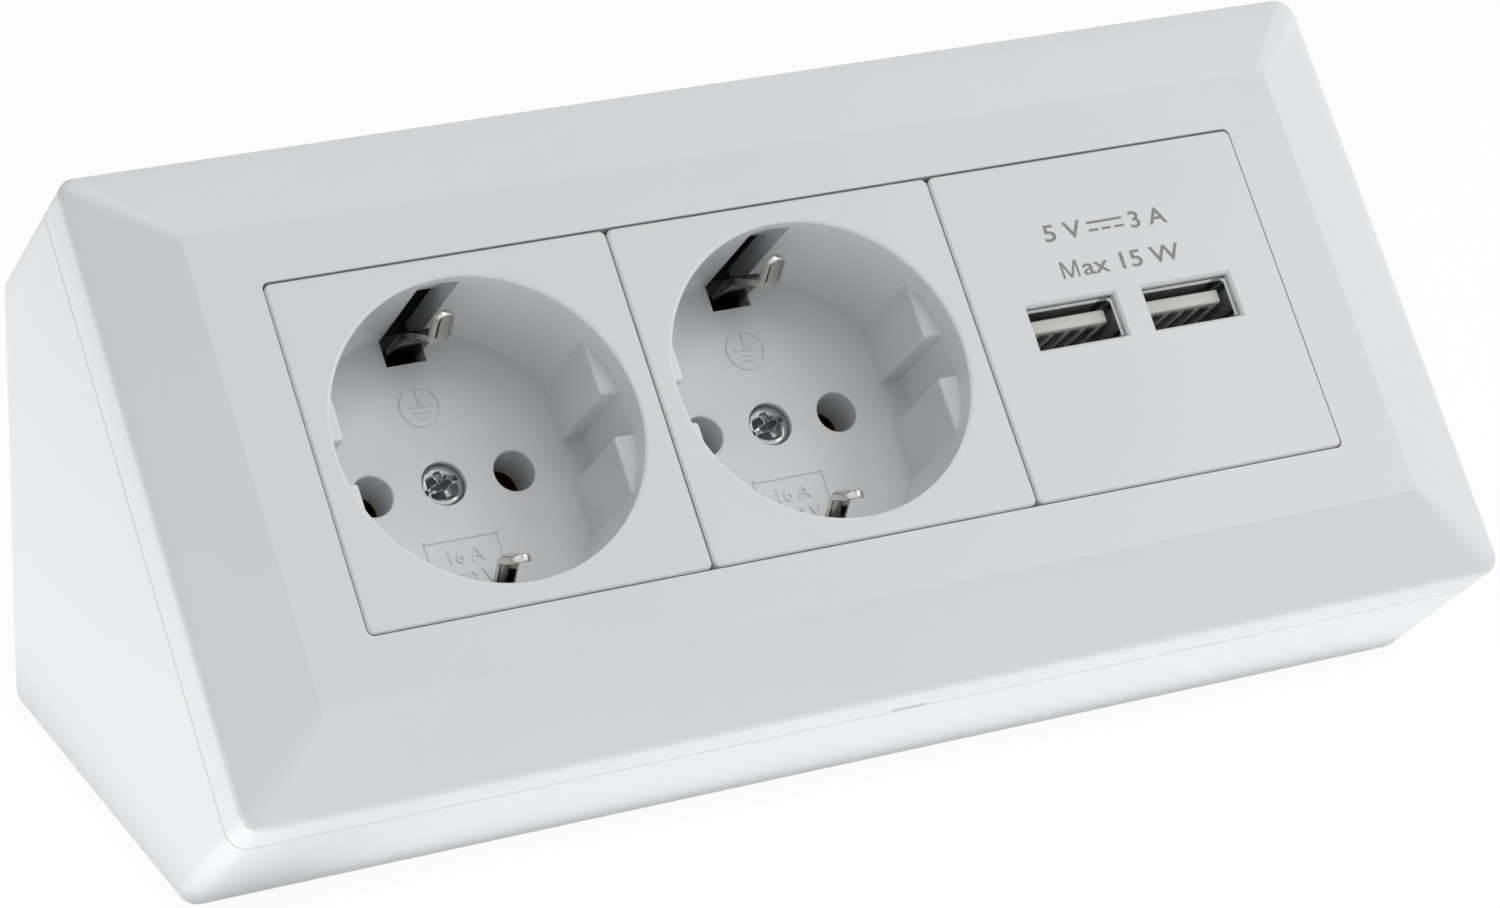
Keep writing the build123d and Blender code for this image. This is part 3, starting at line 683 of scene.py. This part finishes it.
def portShellMesh():
    look = portLook
    low, high = faceBox("usb_shell_left")
    width, height = high.x - low.x, high.y - low.y
    sheet, flare, corner = look["sheet"], look["flare"], look["outerCorner"]
    inner = (width - 2 * sheet, height - 2 * sheet, corner - sheet)
    mouth = (inner[0] + 2 * flare, inner[1] + 2 * flare, inner[2] + flare)
    back = low.z + sheet
    build = bmesh.new()
    sections = [((width, height, corner), low.z), ((width, height, corner), high.z), (mouth, high.z),
                (inner, high.z - look["flareDepth"]), (inner, back)]
    loops = [roundedLoop(build, *size, look["cornerSteps"], level) for size, level in sections]
    joinLoops(build, loops)
    build.faces.new(loops[0])
    build.faces.new(loops[-1])
    bmesh.ops.recalc_face_normals(build, faces=build.faces)
    mesh = meshFrom("portShell", build)
    smooth(mesh, look["sharpAngle"])
    return mesh


def tongueMesh():
    look = portLook
    low, high = faceBox("usb_tongue_left")
    shellLow, shellHigh = faceBox("usb_shell_left")
    build = bmesh.new()
    half, halfThick = look["tongueWidth"] / 2, look["tongueThickness"] / 2
    rise = (look["tongueRise"] - halfThick, look["tongueRise"] + halfThick)
    addBlock(build, (-half, half), rise, (low.z, high.z))
    bmesh.ops.bevel(build, geom=build.edges[:], offset=look["tongueEdge"], segments=look["tongueSteps"],
                    profile=0.5, affect="EDGES")
    gap = look["sheet"] + look["rootGap"]
    rootX, rootY = ((shellHigh - shellLow) / 2).xy - Vector((gap, gap))
    addBlock(build, (-rootX, rootX), (-rootY, rootY), (low.z, low.z + look["rootDepth"]))
    mesh = meshFrom("tongue", build)
    smooth(mesh, look["tongueSharp"])
    return mesh


portStart = (portPlaces[0].x, portPlaces[0].y, 0)
portStep = (portPlaces[1].x - portPlaces[0].x, 0, 0)
portShells = rowOnFace("portShells", portShellMesh(), 2, portStart, portStep, stainless)
addPiece("portShells", portShells, stainless, "port_steel", "usb_shell_left", "usb_shell_right")
portTongues = rowOnFace("portTongues", tongueMesh(), 2, portStart, portStep, paleTongue)
addPiece("portTongues", portTongues, paleTongue, "tongue_plastic", "usb_tongue_left", "usb_tongue_right")
print("ports made")


# Letters: a plain rating, moulded in the recess floor and printed on the charger

def addLetters(build, body, centre, capHeight, width, level, height, weight=0):
    # solid letters of a given height, stretched to a width and set on a level
    curve = bpy.data.curves.new("letters", "FONT")
    curve.body = body
    curve.extrude = 0.5         # to both sides, so the letters are 1 high
    curve.offset = weight
    letters = looseObject("letters", curve)
    mesh = evaluatedMesh(letters)
    bpy.data.objects.remove(letters)
    spans = [[vertex.co[axis] for vertex in mesh.vertices] for axis in (0, 1)]
    (left, right), (bottom, top) = [(min(span), max(span)) for span in spans]
    scale = Matrix.Diagonal((width / (right - left), capHeight / (top - bottom), height, 1))
    place = Matrix.Translation((centre[0] - width / 2, centre[1], level + height / 2))
    mesh.transform(place @ scale @ Matrix.Translation((-left, -bottom, 0)))
    build.from_mesh(mesh)
    bpy.data.meshes.remove(mesh)


reliefLook = {
    "height": 0.2, "sink": 0.05, "line": 0.34,
    "signPlace": (0, 10.2), "signRadius": 2.55, "signSteps": 48,
    "stem": (0.1, 2.3), "bars": ((3.0, 0.1), (2.0, -0.65), (1.0, -1.4)),     # length and place of each bar
    "panel": (-4.8, 4.8), "panelEnds": (-17.2, -7.2),
    "letters": (("16 A", -10.4, 4.6), ("250 V", -13.4, 6.2)), "capHeight": 1.8,
}


def reliefMesh():
    look = reliefLook
    low, high = recessFloor - look["sink"], recessFloor + look["height"]
    half = look["line"] / 2
    build = bmesh.new()
    radius = look["signRadius"]
    inner, outer = radius - half, radius + half
    ring = [(inner, low), (outer, low), (outer, high), (inner, high)]
    addTurned(build, ring, look["signSteps"], closed=True)
    addBlock(build, (-half, half), look["stem"], (low, high))
    for length, place in look["bars"]:
        addBlock(build, (-length / 2, length / 2), (place - half, place + half), (low, high))
    bmesh.ops.translate(build, verts=build.verts, vec=(*look["signPlace"], 0))
    left, right = look["panel"]
    bottom, top = look["panelEnds"]
    for x in (left, right):
        addBlock(build, (x - half, x + half), (bottom, top), (low, high))
    addBlock(build, (left - half, right + half), (top - half, top + half), (low, high))
    for body, place, width in look["letters"]:
        addLetters(build, body, (0, place), look["capHeight"], width, low, high - low)
    bmesh.ops.recalc_face_normals(build, faces=build.faces)
    return meshFrom("relief", build)


floorReliefs = onBothSockets("floorReliefs", reliefMesh(), whitePolycarbonate)
addPiece("floorReliefs", floorReliefs, whitePolycarbonate, "insert_white")

printLook = {
    "inkHeight": 0.02, "capHeight": 2.3, "weight": 0.012,
    "letters": (("5 V", (-6.3, 11.2), 5.6), ("3 A", (6.3, 11.2), 5.4), ("ax 15 W", (1.95, 6.0), 14.5)),
    "capital": (-8.4, 6.0), "capitalWidth": 2.5, "stroke": 0.32,
    "shoulder": 1.35, "diagonal": 1.15,     # widths in strokes, of the top corners and of the slanting bars
    "sign": (-2.6, 2.6), "signLevels": (12.9, 11.85), "signLine": 0.34, "dashes": 3, "dashGap": 0.5,
}


def addCapital(build):
    # the M, drawn as one outline
    look = printLook
    width, height, stroke = look["capitalWidth"], look["capHeight"], look["stroke"]
    shoulder, foot = look["shoulder"] * stroke, stroke / 2
    slant = height / (width / 2 - foot + look["diagonal"] * stroke - shoulder)
    armpit = slant * (width / 2 - foot - stroke)
    notch = height - slant * (width / 2 - shoulder)
    outline = [(0, 0), (stroke, 0), (stroke, armpit), (width / 2 - foot, 0)]
    outline += [(width - x, y) for x, y in reversed(outline)]
    outline += [(width, height), (width - shoulder, height), (width / 2, notch)]
    outline += [(shoulder, height), (0, height)]
    left, bottom = look["capital"]
    addPrism(build, [(left + x, bottom + y) for x, y in outline], (0, look["inkHeight"]))


def printMesh():
    look = printLook
    build = bmesh.new()
    addCapital(build)
    for body, place, width in look["letters"]:
        addLetters(build, body, place, look["capHeight"], width, 0, look["inkHeight"], look["weight"])
    left, right = look["sign"]
    upper, lower = look["signLevels"]
    line, ink = look["signLine"], (0, look["inkHeight"])
    addBlock(build, (left, right), (upper - line / 2, upper + line / 2), ink)
    dash = (right - left - (look["dashes"] - 1) * look["dashGap"]) / look["dashes"]
    for index in range(look["dashes"]):
        x = left + index * (dash + look["dashGap"])
        addBlock(build, (x, x + dash), (lower - line / 2, lower + line / 2), ink)
    bmesh.ops.translate(build, verts=build.verts, vec=(chargerPlace, 0, 0))
    mesh = meshFrom("chargerPrint", build)
    mesh.transform(faceMatrix)
    return mesh


addPiece("chargerPrint", printMesh(), greyInk, "insert_white")
print("reliefs and print made")


# Floor, light and camera

stageLook = {"size": 4.0, "colour": "#F6F6F6", "roughness": 0.9, "glow": 0.95}


def sheetMesh(name, width, depth):
    x, y = width / 2, depth / 2
    mesh = bpy.data.meshes.new(name)
    mesh.from_pydata([(-x, -y, 0), (x, -y, 0), (x, y, 0), (-x, y, 0)], [], [(0, 1, 2, 3)])
    return mesh


def plainMaterial(name, look):
    material, tree, shader = newMaterial(name, look)
    shader.inputs["Base Color"].default_value = linearColour(look["colour"])
    shader.inputs["Roughness"].default_value = look["roughness"]
    return material, tree, shader


def seenDirectly(tree):
    # 1 for what the camera sees itself, in a mirror or through glass
    path = addNode(tree, "ShaderNodeLightPath")
    straight = addNode(tree, "ShaderNodeMath", {"operation": "MAXIMUM"},
                       links={0: path.outputs["Is Camera Ray"], 1: path.outputs["Is Glossy Ray"]})
    seen = addNode(tree, "ShaderNodeMath", {"operation": "MAXIMUM"},
                   links={0: straight.outputs[0], 1: path.outputs["Is Transmission Ray"]})
    return seen.outputs[0]


def makeFloor():
    mesh = sheetMesh("floor", stageLook["size"], stageLook["size"])
    material, tree, shader = plainMaterial("pale_studio_floor", stageLook)
    white = addNode(tree, "ShaderNodeEmission", values={"Color": pureWhite, "Strength": 1})
    share = addNode(tree, "ShaderNodeMath", {"operation": "MULTIPLY"}, {1: stageLook["glow"]},
                    {0: seenDirectly(tree)})
    blend = addNode(tree, "ShaderNodeMixShader", links={0: share.outputs[0], 1: shader.outputs["BSDF"],
                                                         2: white.outputs["Emission"]})
    tree.links.new(blend.outputs["Shader"], tree.nodes["Material Output"].inputs["Surface"])
    mesh.materials.append(material)
    floor = bpy.data.objects.new("floor", mesh)
    scene.collection.objects.link(floor)


# a dark card behind the camera, so that polished metal has something dark to mirror
cardLook = {"place": (320, 190, 800), "size": (880, 560), "colour": "#161616", "roughness": 0.9}


def makeCard():
    mesh = sheetMesh("darkCard", *cardLook["size"])
    mesh.flip_normals()
    mesh.transform(faceMatrix @ Matrix.Translation(cardLook["place"]))
    mesh.materials.append(plainMaterial("black_studio_card", cardLook)[0])
    card = bpy.data.objects.new("darkCard", mesh)
    card.visible_camera = card.visible_shadow = card.visible_diffuse = False
    scene.collection.objects.link(card)


def makeWorld():
    world = bpy.data.worlds.new("studio")
    scene.world = world
    world.use_nodes = True
    tree = world.node_tree
    ambient = tree.nodes["Background"]
    ambient.inputs["Color"].default_value = pureWhite
    ambient.inputs["Strength"].default_value = lightLook["ambient"]
    backdrop = addNode(tree, "ShaderNodeBackground", values={"Color": pureWhite, "Strength": 1})
    blend = addNode(tree, "ShaderNodeMixShader", links={0: seenDirectly(tree), 1: ambient.outputs[0],
                                                         2: backdrop.outputs[0]})
    tree.links.new(blend.outputs["Shader"], tree.nodes["World Output"].inputs["Surface"])


objectMiddle = (0, 0, 0.04)
lightLook = {
    "ambient": 0.24,
    "lamps": {                      # place and aim, length and height in m, watts
        "rightHigh": ((0.72, -0.6, 0.79), objectMiddle, (0.5, 0.5), 2.8),
        "rightAbove": ((0.75, 0.1, 1.0), objectMiddle, (0.5, 0.5), 1.05),
        "rightLow": ((0.95, -0.05, 0.305), objectMiddle, (1.6, 0.6), 1.35),
        "leftFront": ((-0.7, -0.8, 0.7), objectMiddle, (0.6, 0.6), 0.3),
        "above": ((0, 0.22, 1.2), objectMiddle, (0.6, 0.6), 2.1),
        "aboveFront": ((0.1, -0.6, 1.1), objectMiddle, (0.6, 0.6), 2.5),
        # the pale floor's bounce on the left end and on the lip, stronger where the lip comes down to it
        "floorLeft": ((-0.315, 0.1, 0.0015), (-0.315, 0.1, 0), (0.45, 0.5), 0.97),
        "floorFront": ((0.025, -0.065, 0.0015), (0.025, -0.065, 0), (0.19, 0.061), 0.0175),
        "floorEdge": ((0.025, -0.0295, 0.001), (0.025, -0.0295, 0), (0.19, 0.01), 0.0036),
    },
}


def makeLights():
    for name, (place, aim, size, watts) in lightLook["lamps"].items():
        lamp = bpy.data.lights.new(name, "AREA")
        lamp.shape = "RECTANGLE"
        lamp.size, lamp.size_y = size
        lamp.energy = watts
        light = bpy.data.objects.new(name, lamp)
        light.location = place
        light.rotation_euler = (Vector(aim) - light.location).to_track_quat("-Z", "Y").to_euler()
        scene.collection.objects.link(light)


# fitted to the photograph: place in mm on the face's own axes, angles in degrees
cameraLook = {
    "place": (-274.45, -172.51, 518.27),
    "azimuth": 28.437,
    "elevation": 24.684,
    "roll": 2.219,
    "lens": 119.565,
    "sensor": 36,
    "shift": (0.00097, 0.00478),
    "clip": (0.01, 20),
}


def makeCamera():
    data = bpy.data.cameras.new("camera")
    data.lens = cameraLook["lens"]
    data.sensor_width = cameraLook["sensor"]
    data.shift_x, data.shift_y = cameraLook["shift"]
    data.clip_start, data.clip_end = cameraLook["clip"]
    camera = bpy.data.objects.new("camera", data)
    scene.collection.objects.link(camera)
    camera.location = faceMatrix @ Vector(cameraLook["place"])
    azimuth, elevation = math.radians(cameraLook["azimuth"]), math.radians(cameraLook["elevation"])
    look = Vector((math.sin(azimuth) * math.cos(elevation), math.cos(azimuth) * math.cos(elevation),
                   -math.sin(elevation)))
    roll = Quaternion((0, 0, 1), math.radians(cameraLook["roll"]))
    camera.rotation_euler = (look.to_track_quat("-Z", "Y") @ roll).to_euler()
    scene.camera = camera


makeFloor()
makeCard()
makeWorld()
makeLights()
makeCamera()
print("stage, light and camera set")
